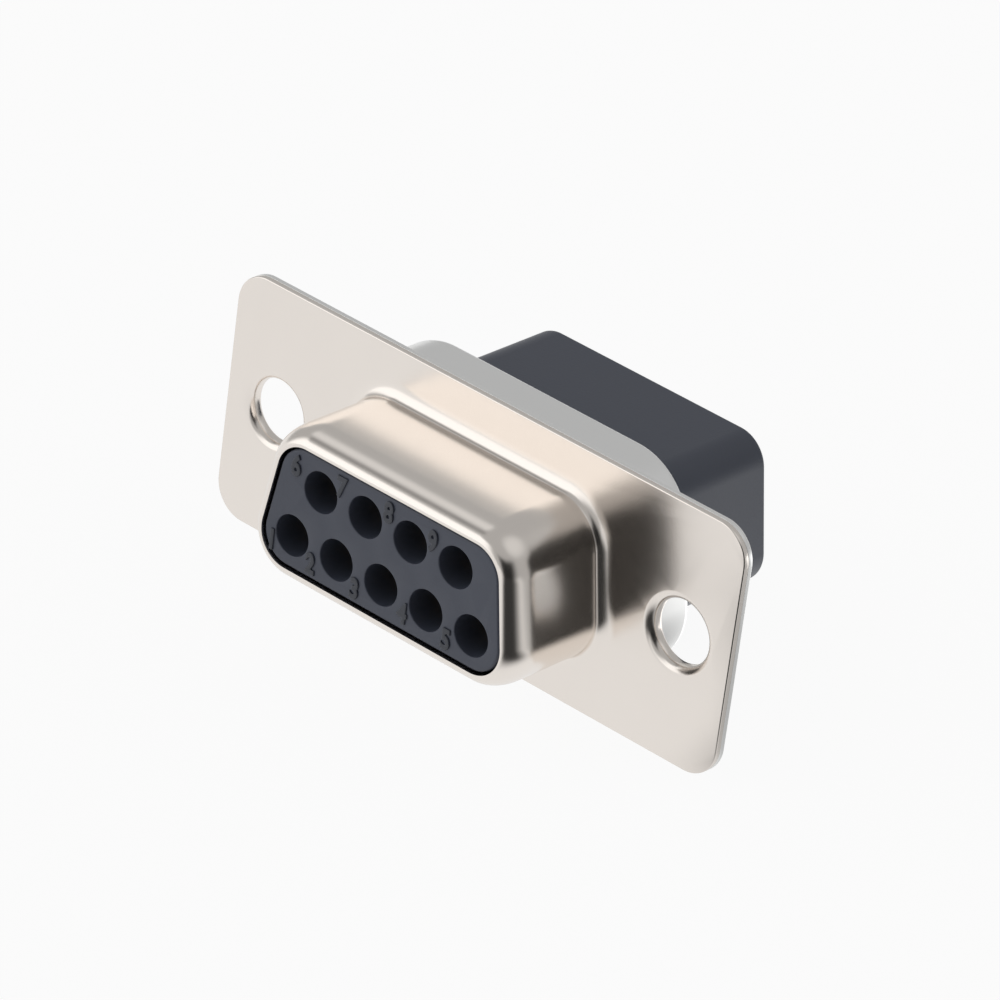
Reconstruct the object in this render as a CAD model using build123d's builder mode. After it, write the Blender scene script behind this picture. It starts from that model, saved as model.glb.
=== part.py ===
from build123d import *
from math import cos, radians, sqrt, tan
import os

# A nine-position D-subminiature socket connector with crimp contacts.
# The origin is the centre of the flange's front face. +X is right seen from the mating side,
# +Y runs to the cable side, and +Z is up. The wide row of five contacts is the lower one.

# Sheet metal and the flange
sheet = 0.29
flange_width = 31.1
flange_height = 12.7
flange_corner = 1.7

# Mounting holes, each with a collar drawn from the front shell and staked behind the rear shell
hole_spacing = 24.99
hole_radius = 1.575
hole_lead_in = 0.45
collar_wall = 0.26
collar_gap = 0.025
stake_radius = 2.25
stake_wall = 0.3
stake_curl = 0.15

# D-shaped outlines: width at mid height, height, corner radius, and the slant of both sides
side_slant = 10
shroud_width = 15.86
shroud_height = 7.9
shroud_corner = 2.4
shroud_depth = 5.9
shroud_nose = 0.78
shroud_root = 0.65
shroud_lip = 0.8

rear_box_width = 19.0
rear_box_height = 10.6
rear_box_corner = 3.5
rear_box_end = 4.3
rear_box_bend = 0.4
rear_box_root = 0.45

# Insulators
boss_clearance = 0.12
boss_front = -5.88
boss_edge = 0.15
pad_clearance = 0.05
insulator_split = 1.5
block_width = 15.27
block_height = 7.5
block_corner = 1.68
block_end = 11.65
block_edge = 0.2
block_clearance = 0.1

# Contact cavities
contact_pitch = 2.77
row_spacing = 2.84
front_bore = 1.0
neck_bore = 0.875
neck_length = 1.0
rear_bore = 1.05

# Socket contacts, rolled from strip
strip = 0.25
contact_tip = -3.75
barrel_radius = 0.81
beam_slot = 0.18
beam_length = 2.6
shoulder_radius = 1.02
shoulder_length = 0.35
lance_root = -0.9
lance_rise = 0.95
lance_width = 0.5
lance_gap = 0.05
wire_barrel_start = 4.2
wire_barrel_end = 7.5
wire_barrel_opening = 0.75
grip_start = 8.2
grip_end = 10.6
grip_opening = 1.1


def face_at(y):
    """Plane across the connector at depth y, seen from the mating side."""
    return Plane.XZ.offset(-y)


def d_outline(width, height, corner, inset=0.0):
    """D outline with its wide side down, moved inwards by inset on every side."""
    mid_width = width - 2 * inset / cos(radians(side_slant))
    full_height = height - 2 * inset
    base_width = mid_width + full_height * tan(radians(side_slant))
    with BuildSketch(mode=Mode.PRIVATE) as outline:
        Trapezoid(base_width, full_height, 90 - side_slant)
        fillet(outline.vertices(), corner - inset)
    return outline.sketch


def shroud_outline(inset=0.0):
    return d_outline(shroud_width, shroud_height, shroud_corner, inset)


def rear_box_outline(inset=0.0):
    return d_outline(rear_box_width, rear_box_height, rear_box_corner, inset)


def block_outline(inset=0.0):
    return d_outline(block_width, block_height, block_corner, inset)


wide_row = [(contact_pitch * (i - 2), -row_spacing / 2) for i in range(5)]
narrow_row = [(contact_pitch * (i - 1.5), row_spacing / 2) for i in range(4)]
cavity_places = wide_row + narrow_row
hole_places = [-hole_spacing / 2, hole_spacing / 2]

# A drawn bend is round outside. Its inside, which nothing shows, is one chamfer that leaves the
# sheet its thickness half way round.
def hidden_bend(radius):
    """Chamfer as deep as a fillet of this radius."""
    return radius * (2 - sqrt(2))


# Front shell: flange, drawn shroud with its inward lip, and two staked collars, all one sheet
with BuildPart() as front_shell:
    with BuildSketch(face_at(sheet)):
        RectangleRounded(flange_width, flange_height, flange_corner)
    extrude(amount=sheet)

    with BuildSketch(face_at(0)):
        add(shroud_outline())
    extrude(amount=shroud_depth)
    shroud_edges = front_shell.edges(Select.LAST).group_by(Axis.Y)
    fillet(shroud_edges[-1], shroud_root)
    fillet(front_shell.edges().group_by(Axis.Y)[0], shroud_nose)

    with BuildSketch(face_at(sheet)):
        add(shroud_outline(sheet))
    extrude(amount=shroud_depth, mode=Mode.SUBTRACT)
    cavity_edges = front_shell.edges(Select.LAST).group_by(Axis.Y)
    chamfer(cavity_edges[0], hidden_bend(shroud_nose - sheet))
    mouth = front_shell.faces().sort_by(Axis.Y)[-1].inner_wires()[0]
    chamfer(mouth.edges(), hidden_bend(shroud_root + sheet))

    with BuildSketch(face_at(sheet)):
        add(shroud_outline(shroud_lip))
    extrude(amount=shroud_depth + sheet, mode=Mode.SUBTRACT)

    with BuildSketch(face_at(sheet)):
        with Locations(*[(x, 0) for x in hole_places]):
            Circle(hole_radius + hole_lead_in)
    extrude(amount=sheet, mode=Mode.SUBTRACT)

    collar_end = 2 * sheet + stake_wall
    collar_outside = hole_radius + collar_wall
    for x in hole_places:
        with BuildSketch(Plane.XY.shift_origin((x, 0, 0))):
            with BuildLine():
                lead = CenterArc((hole_radius + hole_lead_in, hole_lead_in), hole_lead_in, 180, 90)
                Polyline(
                    lead @ 0,
                    (hole_radius, collar_end - stake_curl),
                    (hole_radius + stake_curl, collar_end),
                    (stake_radius, collar_end),
                    (stake_radius, 2 * sheet),
                    (collar_outside, 2 * sheet),
                    (collar_outside, sheet),
                    (hole_radius + hole_lead_in, sheet),
                    lead @ 1,
                )
            make_face()
        revolve(axis=Axis((x, 0, 0), (0, 1, 0)))

# Rear shell: flange, box and rear wall with the opening for the insulator, all one sheet
with BuildPart() as rear_shell:
    with BuildSketch(face_at(2 * sheet)):
        RectangleRounded(flange_width, flange_height, flange_corner)
    extrude(amount=sheet)

    with BuildSketch(face_at(2 * sheet)):
        add(rear_box_outline())
    extrude(amount=2 * sheet - rear_box_end)
    box_edges = rear_shell.edges(Select.LAST).group_by(Axis.Y)
    fillet(box_edges[0], rear_box_root)
    fillet(rear_shell.edges().group_by(Axis.Y)[-1], rear_box_bend)

    with BuildSketch(face_at(sheet)):
        add(rear_box_outline(sheet))
    extrude(amount=2 * sheet - rear_box_end, mode=Mode.SUBTRACT)
    box_floor = rear_shell.edges(Select.LAST).group_by(Axis.Y)[-1]
    chamfer(box_floor, hidden_bend(rear_box_bend - sheet))
    mouth = rear_shell.faces().sort_by(Axis.Y)[0].inner_wires()[0]
    chamfer(mouth.edges(), hidden_bend(rear_box_root + sheet))

    with BuildSketch(face_at(rear_box_end)):
        add(block_outline(-block_clearance))
    extrude(amount=2 * sheet, mode=Mode.SUBTRACT)

    with BuildSketch(face_at(2 * sheet)):
        with Locations(*[(x, 0) for x in hole_places]):
            Circle(hole_radius + collar_wall + collar_gap)
    extrude(amount=sheet, mode=Mode.SUBTRACT)

# Front insulator: the face seen in the shroud, and the pad behind the flange. Each cavity narrows
# to a neck at its rear end, which holds the contact between its lances and its shoulder.
neck_start = insulator_split - neck_length
with BuildPart() as front_insulator:
    with BuildSketch(face_at(insulator_split)):
        add(rear_box_outline(sheet + pad_clearance))
    extrude(amount=insulator_split - sheet)
    with BuildSketch(face_at(sheet)):
        add(shroud_outline(shroud_lip + boss_clearance))
    extrude(amount=sheet - boss_front)
    chamfer(front_insulator.edges().group_by(Axis.Y)[0], boss_edge)
    with BuildSketch(face_at(insulator_split)):
        with Locations(*cavity_places):
            Circle(neck_bore)
    extrude(amount=insulator_split - boss_front, mode=Mode.SUBTRACT)
    with BuildSketch(face_at(neck_start)):
        with Locations(*cavity_places):
            Circle(front_bore)
    extrude(amount=neck_start - boss_front, mode=Mode.SUBTRACT)

# Rear insulator: the other half of the pad, and the block that holds the crimp barrels
pad_end = rear_box_end - sheet
with BuildPart() as rear_insulator:
    with BuildSketch(face_at(insulator_split)):
        add(rear_box_outline(sheet + pad_clearance))
    extrude(amount=insulator_split - pad_end)
    chamfer(rear_insulator.edges().group_by(Axis.Y)[-1], rear_box_bend - sheet)
    with BuildSketch(face_at(pad_end)):
        add(block_outline())
    extrude(amount=pad_end - block_end)
    chamfer(rear_insulator.edges().group_by(Axis.Y)[-1], block_edge)
    with BuildSketch(face_at(insulator_split)):
        with Locations(*cavity_places):
            Circle(rear_bore)
    extrude(amount=insulator_split - block_end, mode=Mode.SUBTRACT)

# Socket contact on its own axis: slotted spring barrel, two lances, shoulder and crimp barrels
barrel_inside = barrel_radius - strip
shoulder_end = insulator_split + shoulder_length
with BuildPart() as socket_contact:
    with BuildSketch(Plane.XY):
        with BuildLine():
            Polyline(
                (barrel_inside, contact_tip),
                (barrel_radius, contact_tip),
                (barrel_radius, insulator_split),
                (shoulder_radius, insulator_split),
                (shoulder_radius, shoulder_end),
                (barrel_inside, shoulder_end),
                close=True,
            )
        make_face()
    revolve(axis=Axis.Y)

    # the rolled seam on top, and the slots that free the two spring beams
    with BuildSketch(face_at(contact_tip)):
        with Locations((0, barrel_radius)):
            Rectangle(beam_slot, 4 * strip)
    extrude(amount=contact_tip - insulator_split, mode=Mode.SUBTRACT)
    with BuildSketch(face_at(contact_tip)):
        Rectangle(2 * barrel_radius + strip, beam_slot)
    extrude(amount=-beam_length, mode=Mode.SUBTRACT)

    # windows in the barrel, each with a lance that springs out in front of the neck of the cavity
    lance_tip = neck_start - lance_gap
    with BuildSketch(face_at(lance_root + strip)):
        Rectangle(2 * barrel_radius + strip, lance_width)
    extrude(amount=lance_root + strip - lance_tip, mode=Mode.SUBTRACT)
    with BuildSketch(Plane.XY):
        for side in (-1, 1):
            with BuildLine():
                Polyline(
                    (side * barrel_inside, lance_root),
                    (side * barrel_radius, lance_root),
                    (side * lance_rise, lance_tip),
                    (side * (lance_rise - strip / 2), lance_tip),
                    close=True,
                )
            make_face()
    extrude(amount=lance_width / 2 - strip / 4, both=True)

    # tray, then the open wire barrel and the open grip for the wire's insulation
    with BuildSketch(face_at(shoulder_end)):
        Circle(barrel_radius)
        Circle(barrel_inside, mode=Mode.SUBTRACT)
        with Locations((0, barrel_radius)):
            Rectangle(2 * barrel_radius, 2 * barrel_radius, mode=Mode.SUBTRACT)
    extrude(amount=shoulder_end - grip_start)
    with BuildSketch(face_at(wire_barrel_start)):
        Circle(barrel_radius)
        Circle(barrel_inside, mode=Mode.SUBTRACT)
        with Locations((0, barrel_radius)):
            Rectangle(wire_barrel_opening, 2 * barrel_radius, mode=Mode.SUBTRACT)
    extrude(amount=wire_barrel_start - wire_barrel_end)
    with BuildSketch(face_at(grip_start)):
        Circle(barrel_radius)
        Circle(barrel_inside, mode=Mode.SUBTRACT)
        with Locations((0, barrel_radius)):
            Rectangle(grip_opening, 2 * barrel_radius, mode=Mode.SUBTRACT)
    extrude(amount=grip_start - grip_end)

os.makedirs("parts", exist_ok=True)

front_shell.part.label = "front_shell"
export_step(front_shell.part, "parts/front_shell.step")
rear_shell.part.label = "rear_shell"
export_step(rear_shell.part, "parts/rear_shell.step")
front_insulator.part.label = "front_insulator"
export_step(front_insulator.part, "parts/front_insulator.step")
rear_insulator.part.label = "rear_insulator"
export_step(rear_insulator.part, "parts/rear_insulator.step")

for number, (x, z) in enumerate(cavity_places, start=1):
    with BuildPart() as contact:
        with Locations((x, 0, z)):
            add(socket_contact.part)
    contact.part.label = f"contact_{number}"
    export_step(contact.part, f"parts/contact_{number}.step")
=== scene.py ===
import math
import bpy
import bmesh
from mathutils import Matrix, Quaternion, Vector
from mathutils.geometry import delaunay_2d_cdt


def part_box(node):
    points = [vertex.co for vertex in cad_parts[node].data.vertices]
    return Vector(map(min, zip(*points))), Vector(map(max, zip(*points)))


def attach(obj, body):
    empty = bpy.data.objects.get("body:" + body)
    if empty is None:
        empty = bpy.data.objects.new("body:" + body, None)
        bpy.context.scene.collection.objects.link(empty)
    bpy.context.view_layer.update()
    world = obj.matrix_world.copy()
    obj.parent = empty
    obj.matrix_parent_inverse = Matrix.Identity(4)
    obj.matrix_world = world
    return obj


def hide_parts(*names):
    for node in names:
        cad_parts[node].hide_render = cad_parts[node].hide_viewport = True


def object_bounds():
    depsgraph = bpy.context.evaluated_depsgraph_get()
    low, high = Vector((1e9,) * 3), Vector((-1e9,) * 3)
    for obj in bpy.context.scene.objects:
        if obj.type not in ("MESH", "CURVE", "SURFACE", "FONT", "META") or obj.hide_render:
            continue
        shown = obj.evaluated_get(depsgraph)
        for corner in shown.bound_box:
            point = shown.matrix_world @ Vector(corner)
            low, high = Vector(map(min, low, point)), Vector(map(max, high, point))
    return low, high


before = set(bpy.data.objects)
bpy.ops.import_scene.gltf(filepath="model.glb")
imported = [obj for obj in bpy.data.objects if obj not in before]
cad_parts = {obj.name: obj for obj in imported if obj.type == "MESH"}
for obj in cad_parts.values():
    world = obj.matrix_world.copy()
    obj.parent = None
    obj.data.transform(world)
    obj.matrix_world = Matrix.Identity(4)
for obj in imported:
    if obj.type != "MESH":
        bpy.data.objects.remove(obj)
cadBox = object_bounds()
print("frame loaded:", len(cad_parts), "nodes")

mm = 0.001
shellLow, shellHigh = (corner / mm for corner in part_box("front_shell"))
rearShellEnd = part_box("rear_shell")[1].y / mm
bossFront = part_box("front_insulator")[0].y / mm
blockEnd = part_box("rear_insulator")[1].y / mm

# sizes that several pieces share, in millimetres
shared = {
    "sheet": 0.29,
    "slant": 10.0,            # lean of the D's two sides, in degrees
    "holeSpacing": 24.99,
    "pitch": 2.77,            # contact to contact along a row
    "rowSpacing": 2.84,
    "wideRow": 5,             # contacts in the low row and in the high one
    "narrowRow": 4,
    "flangeCorner": 1.7,
    "edgeRoll": 0.07,         # soft edge that the blanking die leaves
    "burr": 0.02,             # sharper edge on the other face
    "split": 1.5,             # where the two insulators meet
}

# the three D shapes: each width is taken at mid height
shroud = {
    "width": 15.86,
    "height": 7.9,
    "corner": 2.4,
    "nose": 0.78,             # bend from the wall into the lip, an ellipse this wide
    "noseDepth": 1.6,
    "root": 0.82,             # bend from the flange into the wall, an ellipse this wide
    "rootDepth": 0.48,
    "lip": 0.8,               # reach of the lip from the wall
    "lipEdge": 0.02,
}
rearBox = {"width": 19.0, "height": 10.6, "corner": 3.5, "bend": 0.4, "root": 0.45}
block = {"width": 15.27, "height": 7.5, "corner": 1.68, "edge": 0.2}
detail = {"corner": 28, "bend": 12, "edge": 4, "hole": 72, "bore": 48}    # steps along each kind of curve
sharpFrom = {"solid": 35, "strip": 40}    # degrees between faces above which an edge stays sharp
fill = {"kind": 2, "merge": 1e-6}    # flat fill: faces that keep to the loops, and how near points become one


# outlines in the XZ plane: each point comes with the direction that points out of the outline

def cornerPoints(centre, radius, start, end, steps):
    points = []
    for i in range(steps + 1):
        angle = math.radians(start + (end - start) * i / steps)
        out = Vector((math.cos(angle), math.sin(angle)))
        points.append((centre + radius * out, out))
    return points


def dOutline(shape):
    slant = math.radians(shared["slant"])
    rise = shape["height"] / 2 - shape["corner"]
    side = shape["width"] / 2 * math.cos(slant) - shape["corner"]
    low = Vector(((side + rise * math.sin(slant)) / math.cos(slant), -rise))
    high = Vector(((side - rise * math.sin(slant)) / math.cos(slant), rise))
    radius, steps = shape["corner"], detail["corner"]
    points = cornerPoints(low, radius, -90, shared["slant"], steps)
    points += cornerPoints(high, radius, shared["slant"], 90, steps)
    points += cornerPoints(Vector((-high.x, high.y)), radius, 90, 180 - shared["slant"], steps)
    points += cornerPoints(Vector((-low.x, low.y)), radius, 180 - shared["slant"], 270, steps)
    return points


def flangeOutline():
    radius, steps = shared["flangeCorner"], detail["corner"]
    across, up = shellHigh.x - radius, shellHigh.z - radius
    points = []
    for i, centre in enumerate([(across, -up), (across, up), (-across, up), (-across, -up)]):
        points += cornerPoints(Vector(centre), radius, 90 * i - 90, 90 * i, steps)
    return points


def circle(x, z, steps):
    return cornerPoints(Vector((x, z)), 0.0, 0, 360 - 360 / steps, steps - 1)


def arc(offset, y, radius, start, end, steps, depth=None):    # an ellipse where a depth is given
    points = []
    for i in range(steps + 1):
        angle = math.radians(start + (end - start) * i / steps)
        points.append((offset + radius * math.cos(angle), y + (depth or radius) * math.sin(angle)))
    return points


def inwards(shape, inset):
    slant = math.radians(shared["slant"])
    return dict(shape, width=shape["width"] - 2 * inset / math.cos(slant),
                height=shape["height"] - 2 * inset, corner=shape["corner"] - inset)


def isInside(point, borders):    # a point in the plate has an odd number of borders to one side of it
    odd = False
    for a, b in borders:
        if (a.y > point.y) != (b.y > point.y):
            odd ^= point.x < a.x + (point.y - a.y) * (b.x - a.x) / (b.y - a.y)
    return odd


class Solid:    # a closed mesh built up from swept walls and flat plates
    def __init__(self):
        self.mesh = bmesh.new()

    def loop(self, outline, offset, y):
        loop = []
        for point, out in outline:
            place = point + offset * out
            loop.append(self.mesh.verts.new((place.x * mm, y * mm, place.y * mm)))
        return loop

    def wall(self, outline, section):    # sweeps a section of (offset, depth) points round an outline
        loops = [self.loop(outline, offset, y) for offset, y in section]
        for low, high in zip(loops, loops[1:]):
            for i in range(len(low)):
                j = (i + 1) % len(low)
                self.mesh.faces.new((low[i], low[j], high[j], high[i]))
        return loops[0], loops[-1]

    def plate(self, *loops):    # flat fill between an outer loop and the holes in it
        points, edges, corners = [], [], []
        for loop in loops:
            first = len(points)
            points += [Vector((v.co.x / mm, v.co.z / mm)) for v in loop]
            corners += loop
            edges += [(first + i, first + (i + 1) % len(loop)) for i in range(len(loop))]
        borders = [(points[a], points[b]) for a, b in edges]
        filled = delaunay_2d_cdt(points, edges, [], fill["kind"], fill["merge"])
        for face in filled[2]:
            if isInside(sum((filled[0][i] for i in face), Vector((0, 0))) / len(face), borders):
                self.mesh.faces.new([corners[filled[3][i][0]] for i in face])

    def finish(self, name):
        bmesh.ops.recalc_face_normals(self.mesh, faces=self.mesh.faces)
        data = bpy.data.meshes.new(name)
        self.mesh.to_mesh(data)
        self.mesh.free()
        data.shade_smooth()
        data.set_sharp_from_angle(angle=math.radians(sharpFrom["solid"]))
        piece = bpy.data.objects.new(name, data)
        bpy.context.scene.collection.objects.link(piece)
        flat = piece.modifiers.new("flat faces stay flat", "WEIGHTED_NORMAL")
        flat.weight = 100
        flat.keep_sharp = True
        return plainMesh(piece)


def plainMesh(piece):    # applies what modifiers are on a piece
    graph = bpy.context.evaluated_depsgraph_get()
    data = bpy.data.meshes.new_from_object(piece.evaluated_get(graph), depsgraph=graph)
    data.name = piece.name
    piece.modifiers.clear()
    piece.data = data
    return piece


def cavityPlaces():
    places = []
    for count, side in ((shared["wideRow"], -1), (shared["narrowRow"], 1)):
        first = (1 - count) / 2
        places += [((first + i) * shared["pitch"], side * shared["rowSpacing"] / 2) for i in range(count)]
    return places


holePlaces = [-shared["holeSpacing"] / 2, shared["holeSpacing"] / 2]


# front shell: one drawn sheet, with the lip, the nose bend, the root bend and the two staked collars
collar = {
    "bore": 1.575,
    "leadIn": 0.45,           # depth and width of the rolled edge that the flange's face turns into
    "leadWide": 0.48,
    "wall": 0.26,
    "gap": 0.025,             # between the collar and the rear shell's hole
    "stake": 2.25,            # outer radius of the rim that is spread over the rear shell
    "stakeWall": 0.3,
    "curl": 0.3,
    "edge": 0.07,
}


def frontShell():
    sheet, roll, burr = shared["sheet"], shared["edgeRoll"], shared["burr"]
    bend, edge = detail["bend"], detail["edge"]
    front, nose, depth = shellLow.y, shroud["nose"], shroud["noseDepth"]
    root, rootDepth, lip, lipEdge = (shroud[name] for name in ("root", "rootDepth", "lip", "lipEdge"))
    solid = Solid()
    # the lip's arcs leave out the two points that they would share with the nose's
    section = arc(root, -rootDepth, root, 90, 180, bend, rootDepth)
    section += arc(-nose, front + depth, nose, 0, -90, bend, depth)
    section += arc(-lip + lipEdge, front + lipEdge, lipEdge, -90, -180, edge)[1:]
    section += arc(-lip + lipEdge, front + sheet - lipEdge, lipEdge, 180, 90, edge)[:-1]
    section += arc(-nose, front + depth, nose - sheet, -90, 0, bend, depth - sheet)
    section += arc(root, -rootDepth, root + sheet, 180, 90, bend, rootDepth + sheet)
    frontRoot, rearRoot = solid.wall(dOutline(shroud), section)

    section = arc(-roll, roll, roll, -90, 0, edge)
    section += arc(-burr, sheet - burr, burr, 0, 90, edge)
    frontEdge, rearEdge = solid.wall(flangeOutline(), section)

    frontLoops, rearLoops = [], []
    end = shellHigh.y
    section = arc(collar["bore"] + collar["leadWide"], collar["leadIn"], collar["leadWide"], -90, -180, bend,
                  collar["leadIn"])
    section += arc(collar["bore"] + collar["curl"], end - collar["curl"], collar["curl"], 180, 90, bend)
    section += arc(collar["stake"] - collar["edge"], end - collar["edge"], collar["edge"], 90, 0, edge)
    section += [(collar["stake"], end - collar["stakeWall"]), (collar["bore"] + collar["wall"], 2 * sheet),
                (collar["bore"] + collar["wall"], sheet)]
    for x in holePlaces:
        first, last = solid.wall(circle(x, 0, detail["hole"]), section)
        frontLoops.append(first)
        rearLoops.append(last)
    solid.plate(frontEdge, frontRoot, *frontLoops)
    solid.plate(rearEdge, rearRoot, *rearLoops)
    return solid.finish("frontShell")


# rear shell: the box that holds the insulators, with its own flange
mouth = {"gap": 0.1, "rim": 0.04}    # the opening round the block


def rearShell():
    sheet, roll, burr = shared["sheet"], shared["edgeRoll"], shared["burr"]
    bend, edge = detail["bend"], detail["edge"]
    end, outside, root = rearShellEnd, rearBox["bend"], rearBox["root"]
    rim = mouth["rim"]
    solid = Solid()
    section = arc(root, 2 * sheet + root, root, -90, -180, bend)
    section += arc(-outside, end - outside, outside, 0, 90, bend)
    rearRoot, rearWall = solid.wall(dOutline(rearBox), section)
    section = arc(-outside, end - outside, outside - sheet, 90, 0, edge)
    section += arc(root, 2 * sheet + root, root + sheet, 180, 270, bend)
    innerWall, frontRoot = solid.wall(dOutline(rearBox), section)
    section = arc(mouth["gap"] + rim, end - rim, rim, 90, 180, edge)
    section += arc(mouth["gap"] + rim, end - sheet + rim, rim, 180, 270, edge)
    rearMouth, innerMouth = solid.wall(dOutline(block), section)
    solid.plate(rearWall, rearMouth)
    solid.plate(innerWall, innerMouth)

    section = arc(-burr, sheet + burr, burr, -90, 0, edge) + arc(-roll, 2 * sheet - roll, roll, 0, 90, edge)
    frontEdge, rearEdge = solid.wall(flangeOutline(), section)
    frontLoops, rearLoops = [], []
    hole = collar["bore"] + collar["wall"] + collar["gap"]
    for x in holePlaces:
        first, last = solid.wall(circle(x, 0, detail["hole"]), [(hole, sheet), (hole, 2 * sheet)])
        frontLoops.append(first)
        rearLoops.append(last)
    solid.plate(frontEdge, frontRoot, *frontLoops)
    solid.plate(rearEdge, rearRoot, *rearLoops)
    return solid.finish("rearShell")


# insulators: two mouldings with nine cavities through both
cavity = {"front": 1.0, "rim": 0.06, "neck": 0.875, "neckStart": 0.5, "rear": 1.05, "edge": 0.05}
moulding = {
    "setBack": 0.072,         # of the face, so that the raised numbers end where the solid's face is
    "faceGap": 0.12,          # between the face and the shroud's lip
    "faceEdge": 0.15,
    "padGap": 0.05,           # between the wide pads and the rear shell
}
padInset = shared["sheet"] + moulding["padGap"]


def frontInsulator():
    bend, edge = detail["bend"], detail["edge"]
    front, pad, split = bossFront + moulding["setBack"], shared["sheet"], shared["split"]
    soft = moulding["faceEdge"]
    boss = inwards(shroud, shroud["lip"] + moulding["faceGap"])
    solid = Solid()
    section = arc(-soft, front + soft, soft, -90, 0, bend) + [(0, pad)]
    face, foot = solid.wall(dOutline(boss), section)
    padFront, padRear = solid.wall(dOutline(inwards(rearBox, padInset)), [(0, pad), (0, split)])
    rims, ends = [], []
    for x, z in cavityPlaces():
        section = arc(cavity["front"] + cavity["rim"], front + cavity["rim"], cavity["rim"], -90, -180, edge)
        section += [(cavity["front"], cavity["neckStart"]), (cavity["neck"], cavity["neckStart"]),
                    (cavity["neck"], split)]
        first, last = solid.wall(circle(x, z, detail["bore"]), section)
        rims.append(first)
        ends.append(last)
    solid.plate(face, *rims)
    solid.plate(padFront, foot)
    solid.plate(padRear, *ends)
    return solid.finish("frontInsulator")


def rearInsulator():
    bend, edge = detail["bend"], detail["edge"]
    split, end, padEnd = shared["split"], blockEnd, rearShellEnd - shared["sheet"]
    padEdge = rearBox["bend"] - shared["sheet"]
    solid = Solid()
    section = [(0, split)] + arc(-padEdge, padEnd - padEdge, padEdge, 0, 90, edge)
    padFront, padRear = solid.wall(dOutline(inwards(rearBox, padInset)), section)
    section = [(0, padEnd)] + arc(-block["edge"], end - block["edge"], block["edge"], 0, 90, bend)
    foot, face = solid.wall(dOutline(block), section)
    starts, rims = [], []
    for x, z in cavityPlaces():
        section = [(cavity["rear"], split)]
        section += arc(cavity["rear"] + cavity["edge"], end - cavity["edge"], cavity["edge"], 180, 90, edge)
        first, last = solid.wall(circle(x, z, detail["bore"]), section)
        starts.append(first)
        rims.append(last)
    solid.plate(padFront, *starts)
    solid.plate(padRear, foot)
    solid.plate(face, *rims)
    return solid.finish("rearInsulator")


# position numbers, raised on the moulded face beside each cavity
numbers = {
    "size": 1.38,
    "height": 0.09,           # above the moulded face
    "sunk": 0.03,             # below it
    "round": 0.05,
    "roundSteps": 2,
    "bold": 0.07,
    "narrow": 0.8,
    "grain": 0.02,            # of the closed skin
}
numberPlaces = {
    "1": (-6.69, -2.14), "2": (-4.24, -2.3), "3": (-1.48, -2.32), "4": (1.48, -2.18), "5": (4.16, -2.28),
    "6": (-5.73, 2.08), "7": (-2.94, 2.21), "8": (-0.02, 2.25), "9": (2.7, 2.05),
}


def raisedNumbers():
    solid = bmesh.new()
    middle = bossFront + moulding["setBack"] + (numbers["sunk"] - numbers["height"]) / 2
    for digit, (x, z) in numberPlaces.items():
        text = bpy.data.curves.new("digit " + digit, "FONT")
        text.body = digit
        text.size = numbers["size"]
        text.extrude = (numbers["height"] + numbers["sunk"]) / 2 - numbers["round"]
        text.bevel_depth = numbers["round"]
        text.bevel_resolution = numbers["roundSteps"]
        text.offset = numbers["bold"] - numbers["round"]
        text.align_x = "CENTER"
        text.align_y = "CENTER"
        holder = bpy.data.objects.new(text.name, text)
        bpy.context.scene.collection.objects.link(holder)
        graph = bpy.context.evaluated_depsgraph_get()
        data = bpy.data.meshes.new_from_object(holder.evaluated_get(graph), depsgraph=graph)
        for v in data.vertices:
            v.co = (v.co.x * numbers["narrow"] + x, middle - v.co.z, v.co.y + z)
        solid.from_mesh(data)
        bpy.data.objects.remove(holder)
    data = bpy.data.meshes.new("raisedNumbers")
    solid.to_mesh(data)
    solid.free()
    piece = bpy.data.objects.new("raisedNumbers", data)
    bpy.context.scene.collection.objects.link(piece)
    skin = piece.modifiers.new("one closed skin", "REMESH")
    skin.mode = "VOXEL"
    skin.voxel_size = numbers["grain"]    # never finer than 0.1 mm, so the digits are scaled down after it
    skin.use_smooth_shade = True
    plainMesh(piece).data.transform(Matrix.Scale(mm, 4))
    return piece


# node maths as plain sums: a Value wraps one output socket of a node
class Value:
    def __init__(self, tree, socket):
        self.tree, self.socket = tree, socket

    def sum(self, operation, *parts):
        node = self.tree.nodes.new("ShaderNodeMath")
        node.operation = operation
        for slot, part in zip(node.inputs, parts):
            if isinstance(part, Value):
                self.tree.links.new(part.socket, slot)
            else:
                slot.default_value = part
        return Value(self.tree, node.outputs[0])

    def __add__(self, other):
        return self.sum("ADD", self, other)

    def __sub__(self, other):
        return self.sum("SUBTRACT", self, other)

    def __rsub__(self, other):
        return self.sum("SUBTRACT", other, self)

    def __mul__(self, other):
        return self.sum("MULTIPLY", self, other)

    def __truediv__(self, other):
        return self.sum("DIVIDE", self, other)

    def __pow__(self, other):
        return self.sum("POWER", self, other)

    def __abs__(self):
        return self.sum("ABSOLUTE", self)

    def __lt__(self, other):
        return self.sum("LESS_THAN", self, other)

    def __gt__(self, other):
        return self.sum("GREATER_THAN", self, other)

    __radd__, __rmul__ = __add__, __mul__


class Graph:    # a node tree of any kind
    def __init__(self, tree):
        self.tree = tree
        tree.nodes.clear()

    def pick(self, sockets, name):    # the first socket in use, or the one in use with this name
        return next((s for s in sockets if s.enabled and name in (None, s.name)), None)

    def node(self, kind, settings=None, sockets=None, output=None):    # settings first, then values and links
        node = self.tree.nodes.new(kind)
        for key, setting in (settings or {}).items():
            setattr(node, key, setting)
        for name, part in (sockets or {}).items():
            slot = node.inputs[name] if isinstance(name, int) else self.pick(node.inputs, name)
            if isinstance(part, Value):
                self.tree.links.new(part.socket, slot)
            else:
                slot.default_value = part
        return Value(self.tree, self.pick(node.outputs, output))


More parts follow.
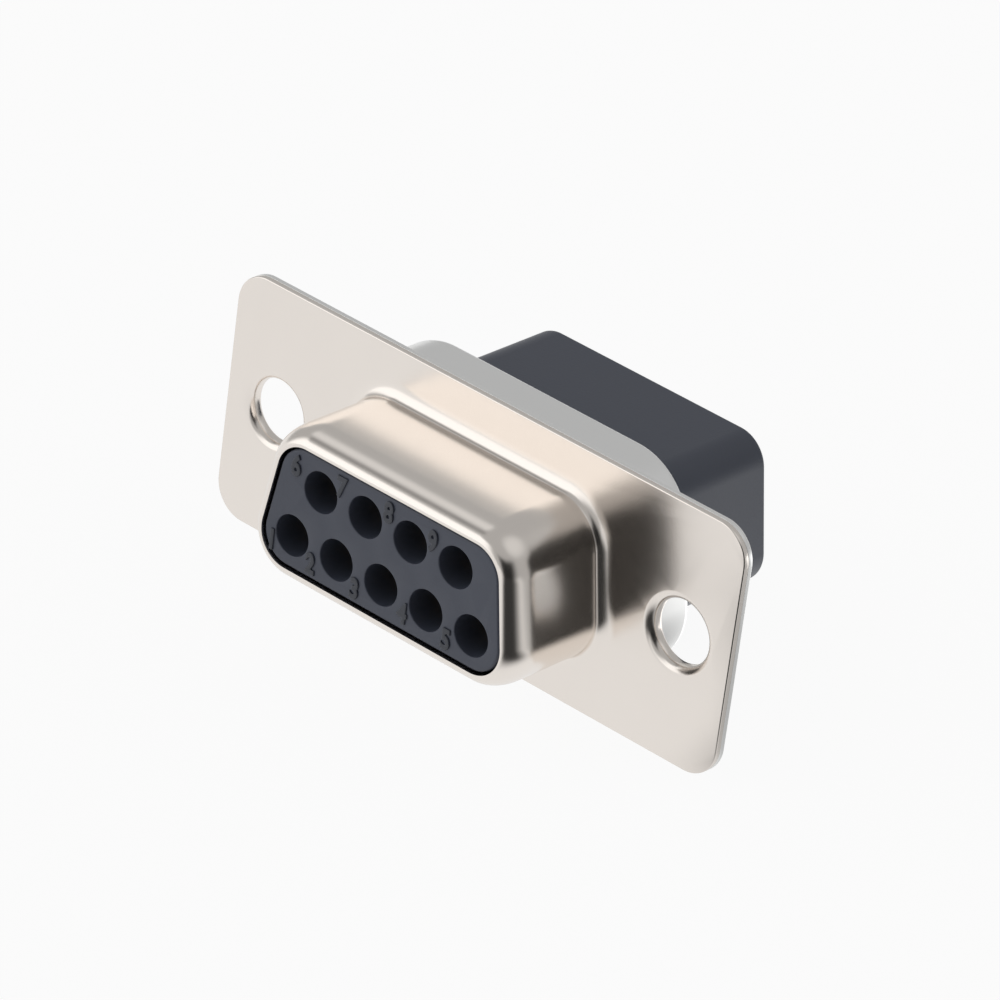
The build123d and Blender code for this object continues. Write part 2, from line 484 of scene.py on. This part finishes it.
def newMaterial(name):
    material = bpy.data.materials.new(name)
    material.use_nodes = True
    return material, Graph(material.node_tree)


def cloud(graph, place, scale, detail):
    return graph.node("ShaderNodeTexNoise", sockets={"Vector": place, "Scale": scale, "Detail": detail})


def blend(graph, factor, a, b):
    return graph.node("ShaderNodeMix", {"data_type": "RGBA"}, {"Factor": factor, "A": a, "B": b})


def smooth(graph, value, low, high):    # 0 at low, 1 at high
    return graph.node("ShaderNodeMapRange", {"interpolation_type": "SMOOTHSTEP"},
                      {"Value": value, "From Min": low, "From Max": high})


def axes(graph, place):
    return [graph.node("ShaderNodeSeparateXYZ", sockets={"Vector": place}, output=axis) for axis in "XYZ"]


plating = {"driftScale": 130.0, "hazeScale": 900.0, "haze": 0.05, "waveScale": 160.0, "waveHeight": 0.00012}


def platedSteel(name, light, dark, roughness, wave):
    material, graph = newMaterial(name)
    place = graph.node("ShaderNodeTexCoord", output="Object")
    drift = cloud(graph, place, plating["driftScale"], 3.0)
    haze = cloud(graph, place, plating["hazeScale"], 4.0)
    slow = cloud(graph, place, plating["waveScale"], 1.0)
    bump = graph.node("ShaderNodeBump", sockets={
        "Strength": wave, "Distance": plating["waveHeight"], "Height": slow})
    steel = graph.node("ShaderNodeBsdfPrincipled", sockets={
        "Base Color": blend(graph, drift, light, dark), "Metallic": 1.0,
        "Roughness": roughness + (haze - 0.5) * plating["haze"], "Normal": bump})
    graph.node("ShaderNodeOutputMaterial", sockets={"Surface": steel})
    return material


thermoplastic = {"driftScale": 240.0, "drift": 0.12, "grainScale": 9000.0, "grain": 0.25,
                 "grainHeight": 0.00002, "index": 1.55}


def mouldedPlastic(name, dark, light, roughness):
    material, graph = newMaterial(name)
    place = graph.node("ShaderNodeTexCoord", output="Object")
    grain = cloud(graph, place, thermoplastic["grainScale"], 3.0)
    drift = cloud(graph, place, thermoplastic["driftScale"], 3.0)
    bump = graph.node("ShaderNodeBump", sockets={
        "Strength": thermoplastic["grain"], "Distance": thermoplastic["grainHeight"], "Height": grain})
    plastic = graph.node("ShaderNodeBsdfPrincipled", sockets={
        "Base Color": blend(graph, drift, dark, light),
        "Roughness": roughness + (drift - 0.5) * thermoplastic["drift"], "IOR": thermoplastic["index"],
        "Normal": bump})
    graph.node("ShaderNodeOutputMaterial", sockets={"Surface": plastic})
    return material


flash = {"driftScale": 800.0, "drift": 0.1, "roughness": 0.26}


def goldFlash(light, dark):
    material, graph = newMaterial("goldFlash")
    place = graph.node("ShaderNodeTexCoord", output="Object")
    drift = cloud(graph, place, flash["driftScale"], 3.0)
    gold = graph.node("ShaderNodeBsdfPrincipled", sockets={
        "Base Color": blend(graph, drift, light, dark), "Metallic": 1.0,
        "Roughness": flash["roughness"] + (drift - 0.5) * flash["drift"]})
    graph.node("ShaderNodeOutputMaterial", sockets={"Surface": gold})
    return material


# socket contacts: flat strips, slit, rolled into barrels and open crimps, and set out along the two rows
contact = {    # the tree's inputs: the strip's two ends, its three radii, and the grid of the nine
    "Tip": -3.75, "End": 10.6, "Radius": 0.81, "Shoulder": 1.02, "Lance": 0.95,
    "Pitch": shared["pitch"], "Row Spacing": shared["rowSpacing"]}
strip = {"thick": 0.25, "columns": 58, "rows": 84, "fineRows": 50, "fineStep": 0.12}    # fine at the front
# half of each part's wrap, and then the cuts' places from the barrel's left or right side, in degrees
wraps = {"barrel": 174.0, "tray": 90.0, "wire": 152.4, "grip": 137.2}
cuts = {"slot": 6.0, "slit": 21.0, "slitHalf": 2.0, "lance": 20.0, "tip": 22.0}
spans = {    # along the contact, from and to
    "tray": (2.0, 2.4), "wire": (4.0, 4.4), "wireEnd": (7.3, 7.7), "grip": (8.0, 8.4),
    "bead": (1.53, 1.65), "beadEnd": (1.89, 2.01), "lance": (-0.88, 0.46), "lanceTip": (0.46, 0.56)}
beam = {"slotEnd": -1.15, "lanceRoot": -0.87, "lanceRun": 1.32}    # the lance leans out along its run


def contactTree():
    tree = bpy.data.node_groups.new("rolled contacts", "GeometryNodeTree")
    for name in contact:
        tree.interface.new_socket(name, in_out="INPUT", socket_type="NodeSocketFloat")
    tree.interface.new_socket("Material", in_out="INPUT", socket_type="NodeSocketMaterial")
    tree.interface.new_socket("Geometry", in_out="OUTPUT", socket_type="NodeSocketGeometry")
    graph = Graph(tree)
    tip, end, radius, shoulder, lance, pitch, spacing, material = (
        graph.node("NodeGroupInput", output=name) for name in [*contact, "Material"])

    flat = graph.node("GeometryNodeMeshGrid", sockets={
        "Size X": 1.0, "Size Y": 1.0, "Vertices X": strip["columns"] + 1, "Vertices Y": strip["rows"] + 1})
    across, along = axes(graph, graph.node("GeometryNodeInputPosition"))[:2]
    row = (along + 0.5) * strip["rows"]
    fine, step = strip["fineRows"], strip["fineStep"]
    coarse = (end - tip - fine * step) / (strip["rows"] - fine)
    y = tip + row.sum("MINIMUM", row, fine) * step + row.sum("MAXIMUM", row - fine, 0.0) * coarse

    def past(name):
        return smooth(graph, y, *spans[name])

    def within(name):
        return (y > spans[name][0]) * (y < spans[name][1])

    tray = wraps["tray"]
    wrap = tray + (1.0 - past("tray")) * (wraps["barrel"] - tray)
    wrap = wrap + (past("wire") - past("wireEnd")) * (wraps["wire"] - tray)
    wrap = wrap + past("grip") * (wraps["grip"] - tray)
    turn = across * wrap * 2.0
    aside = abs(abs(turn) - 90.0)
    sprung = within("lance")

    # two slots part the beams, and a slit on three sides frees each lance
    slots = (aside < cuts["slot"]) * (y < beam["slotEnd"])
    slits = (abs(aside - cuts["slit"]) < cuts["slitHalf"]) * sprung
    slits = slits + (aside < cuts["tip"]) * within("lanceTip")
    cut = graph.node("GeometryNodeDeleteGeometry", {"domain": "FACE"},
                     {"Geometry": flat, "Selection": slots + slits})
    bead = past("bead") - past("beadEnd")
    spring = (aside < cuts["lance"]) * sprung * (y - beam["lanceRoot"]) / beam["lanceRun"]
    out = radius + (shoulder - radius) * bead + (lance - radius) * spring
    angle = turn * math.radians(1.0)
    rolled = graph.node("ShaderNodeCombineXYZ", sockets={
        "X": out * angle.sum("SINE", angle) * -mm, "Y": y * mm, "Z": out * angle.sum("COSINE", angle) * -mm})
    one = graph.node("GeometryNodeSetPosition", sockets={"Geometry": cut, "Position": rolled})
    one = graph.node("GeometryNodeSetShadeSmooth", sockets={0: one})

    # the first points make the wide row and the rest the narrow one, each counted from its middle
    low, high = shared["wideRow"], shared["narrowRow"]
    lowMiddle, highMiddle = (low - 1) / 2, low + (high - 1) / 2
    index = graph.node("GeometryNodeInputIndex")
    wide = index < low
    place = graph.node("ShaderNodeCombineXYZ", sockets={
        "X": (index - highMiddle + wide * (highMiddle - lowMiddle)) * pitch * mm,
        "Z": (0.5 - wide) * spacing * mm})
    points = graph.node("GeometryNodePoints", sockets={"Count": low + high, "Position": place})
    nine = graph.node("GeometryNodeInstanceOnPoints", sockets={"Points": points, "Instance": one})
    whole = graph.node("GeometryNodeRealizeInstances", sockets={"Geometry": nine})
    whole = graph.node("GeometryNodeSetMaterial", sockets={"Geometry": whole, "Material": material})
    graph.node("NodeGroupOutput", sockets={"Geometry": whole})
    return tree


def socketContacts(gold):
    piece = bpy.data.objects.new("socketContacts", bpy.data.meshes.new("socketContacts"))
    bpy.context.scene.collection.objects.link(piece)
    roller = piece.modifiers.new("rolled contacts", "NODES")
    roller.node_group = contactTree()
    for item in roller.node_group.interface.items_tree:
        if item.in_out == "INPUT":
            roller[item.identifier] = contact.get(item.name, gold)
    sheet = piece.modifiers.new("strip", "SOLIDIFY")
    sheet.thickness = strip["thick"] * mm
    sheet.offset = -1.0
    piece = plainMesh(piece)
    piece.data.set_sharp_from_angle(angle=math.radians(sharpFrom["strip"]))
    return piece


def dress(piece, material, slot, *nodes):
    piece.data.materials.clear()
    piece.data.materials.append(material)
    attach(piece, "root")
    if nodes:
        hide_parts(*nodes)
    print("made", piece.name, len(piece.data.polygons), "faces")


frontPlating = platedSteel("frontPlating", (0.925, 0.867, 0.812, 1), (0.885, 0.827, 0.772, 1), 0.21, 0.2)
rearPlating = platedSteel("rearPlating", (1.0, 1.0, 0.99, 1), (0.97, 0.975, 0.965, 1), 0.3, 0.12)
# the face's plastic is the block's plastic made lighter: painted light on the moulded face
paintedLightFacePlastic = mouldedPlastic("paintedLightFacePlastic", (0.060, 0.069, 0.097, 1), (0.075, 0.085, 0.117, 1), 0.42)
blockPlastic = mouldedPlastic("blockPlastic", (0.051, 0.060, 0.086, 1), (0.064, 0.074, 0.103, 1), 0.42)
# the raised numbers' plastic is the same plastic made darker: painted shade of their fine relief
paintedShadeDigitPlastic = mouldedPlastic("paintedShadeDigitPlastic", (0.030, 0.035, 0.050, 1), (0.040, 0.046, 0.064, 1), 0.24)
gold = goldFlash((0.83, 0.60, 0.26, 1), (0.72, 0.50, 0.20, 1))
print("finishes ready")

dress(frontShell(), frontPlating, "front_plating", "front_shell")
dress(rearShell(), rearPlating, "rear_plating", "rear_shell")
dress(frontInsulator(), paintedLightFacePlastic, "insulator_plastic", "front_insulator")
dress(rearInsulator(), blockPlastic, "insulator_plastic", "rear_insulator")
dress(raisedNumbers(), paintedShadeDigitPlastic, "insulator_plastic")    # no solid stands for them
contactNodes = [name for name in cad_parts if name.startswith("contact_")]
dress(socketContacts(gold), gold, "contact_metal", *contactNodes)


# studio: a pale floor and a soft room, with a white wall at the front left and an unlit side at the
# front right; azimuths are from the front towards the right
studio = {
    "floorSize": 3.0, "floorDrop": 0.00002, "floorShine": 0.85,    # in metres, and what metal sees of it
    "floorWhite": (0.93, 0.93, 0.93, 1), "shadow": 0.07,           # share of the shadow that the camera sees
    "room": 0.55,
    "wall": {"azimuth": -42, "inner": 16, "outer": 44, "top": 43.5, "fade": 4, "light": 0.92},
    "unlit": {"azimuth": 54, "inner": 16, "outer": 42, "top": 36, "fade": 12, "depth": 0.955},
    "unlitFloor": {"near": 0.012, "far": 0.0175},
    # what metal sees of the floor carries a painted shadow of the object at the right and a painted pool of
    # light behind it
    "floorPaintedShadow": {"azimuth": 112, "inner": 8, "outer": 22, "light": -0.4},
    "floorPaintedLight": {"azimuth": 139, "inner": 6, "outer": 18, "light": 0.6},
}
lamps = [    # soft patches of the room, brighter or darker than it
    {"azimuth": -72, "elevation": 55, "inner": 3, "outer": 9, "light": -0.27},
    {"azimuth": -109, "elevation": 54, "inner": 4, "outer": 13, "light": 0.4},
    {"azimuth": 120, "elevation": 58, "inner": 8, "outer": 28, "light": 0.3},
]


def sector(graph, x, y, side):    # 1 where the horizontal direction is near the side's azimuth
    turn = math.radians(side["azimuth"])
    facing = (x * math.sin(turn) - y * math.cos(turn)) / (x * x + y * y) ** 0.5
    return smooth(graph, facing, math.cos(math.radians(side["outer"])), math.cos(math.radians(side["inner"])))


def below(graph, z, side):
    low, high = (math.sin(math.radians(side["top"] + k * side["fade"] / 2)) for k in (-1, 1))
    return smooth(graph, z, high, low)


def patch(graph, x, y, z, lamp):
    turn, lift = math.radians(lamp["azimuth"]), math.radians(lamp["elevation"])
    level, rise = math.cos(lift), math.sin(lift)
    facing = x * (math.sin(turn) * level) - y * (math.cos(turn) * level) + z * rise
    near = smooth(graph, facing, math.cos(math.radians(lamp["outer"])), math.cos(math.radians(lamp["inner"])))
    return near * lamp["light"]


def softRoom():
    world = bpy.data.worlds.new("softRoom")
    bpy.context.scene.world = world
    world.use_nodes = True
    graph = Graph(world.node_tree)
    x, y, z = axes(graph, graph.node("ShaderNodeTexCoord", output="Generated"))
    wall, unlit = studio["wall"], studio["unlit"]
    light = studio["room"] + sector(graph, x, y, wall) * below(graph, z, wall) * wall["light"]
    for lamp in lamps:
        light = light + patch(graph, x, y, z, lamp)
    light = light * (1.0 - sector(graph, x, y, unlit) * below(graph, z, unlit) * unlit["depth"])
    seen = graph.node("ShaderNodeLightPath", output="Is Camera Ray")
    glow = graph.node("ShaderNodeBackground", sockets={"Strength": light * (1.0 - seen) + seen})
    graph.node("ShaderNodeOutputWorld", sockets={"Surface": glow})


def paleFloor():
    data = bpy.data.meshes.new("floor")
    half = studio["floorSize"] / 2
    low = cadBox[0].z - studio["floorDrop"]
    data.from_pydata([(x * half, y * half, low) for x, y in ((-1, -1), (1, -1), (1, 1), (-1, 1))],
                     [], [(0, 1, 2, 3)])
    floor = bpy.data.objects.new("floor", data)
    bpy.context.scene.collection.objects.link(floor)
    material, graph = newMaterial("paleFloor")
    x, y = axes(graph, graph.node("ShaderNodeTexCoord", output="Object"))[:2]
    near, far = studio["unlitFloor"]["near"], studio["unlitFloor"]["far"]
    unlit = sector(graph, x, y, studio["unlit"]) * smooth(graph, (x * x + y * y) ** 0.5, near, far)
    seen = graph.node("ShaderNodeLightPath", output="Is Camera Ray")
    glossy = graph.node("ShaderNodeLightPath", output="Is Glossy Ray")
    shine = studio["floorShine"]
    # painted shadow and painted pool of light in the floor's reflected glow
    for side in (studio["floorPaintedShadow"], studio["floorPaintedLight"]):
        shine = shine + sector(graph, x, y, side) * side["light"]
    shine = shine * (1.0 - unlit * studio["unlit"]["depth"]) * glossy
    matte = graph.node("ShaderNodeBsdfDiffuse", sockets={"Color": studio["floorWhite"]})
    glow = graph.node("ShaderNodeEmission", sockets={"Strength": seen + shine})
    surface = graph.node("ShaderNodeMixShader", sockets={
        0: seen * (1 - studio["shadow"]) + glossy, 1: matte, 2: glow})
    graph.node("ShaderNodeOutputMaterial", sockets={"Surface": surface})
    data.materials.append(material)


paleFloor()
softRoom()

# camera: at the photograph's angle, found from the standard contact and hole positions
camera = {"aim": (0.59, 1.065, 1.02), "azimuth": 38.99, "elevation": 28.16, "roll": 7.67,
          "distance": 309.8, "lens": 246.99, "sensor": 36.0, "clip": (0.01, 10.0)}    # the clip is in metres


def photoCamera():
    data = bpy.data.cameras.new("photoCamera")
    data.lens = camera["lens"]
    data.sensor_width = camera["sensor"]
    data.clip_start, data.clip_end = camera["clip"]
    view = bpy.data.objects.new("photoCamera", data)
    bpy.context.scene.collection.objects.link(view)
    turn, lift = math.radians(camera["azimuth"]), math.radians(camera["elevation"])
    back = Vector((math.sin(turn) * math.cos(lift), -math.cos(turn) * math.cos(lift), math.sin(lift)))
    view.location = (Vector(camera["aim"]) + camera["distance"] * back) * mm
    view.rotation_mode = "QUATERNION"
    level = (-back).to_track_quat("-Z", "Y")
    view.rotation_quaternion = level @ Quaternion((0, 0, 1), math.radians(camera["roll"]))
    bpy.context.scene.camera = view


photoCamera()
bpy.context.scene.view_settings.view_transform = "Standard"
print("studio and camera ready")
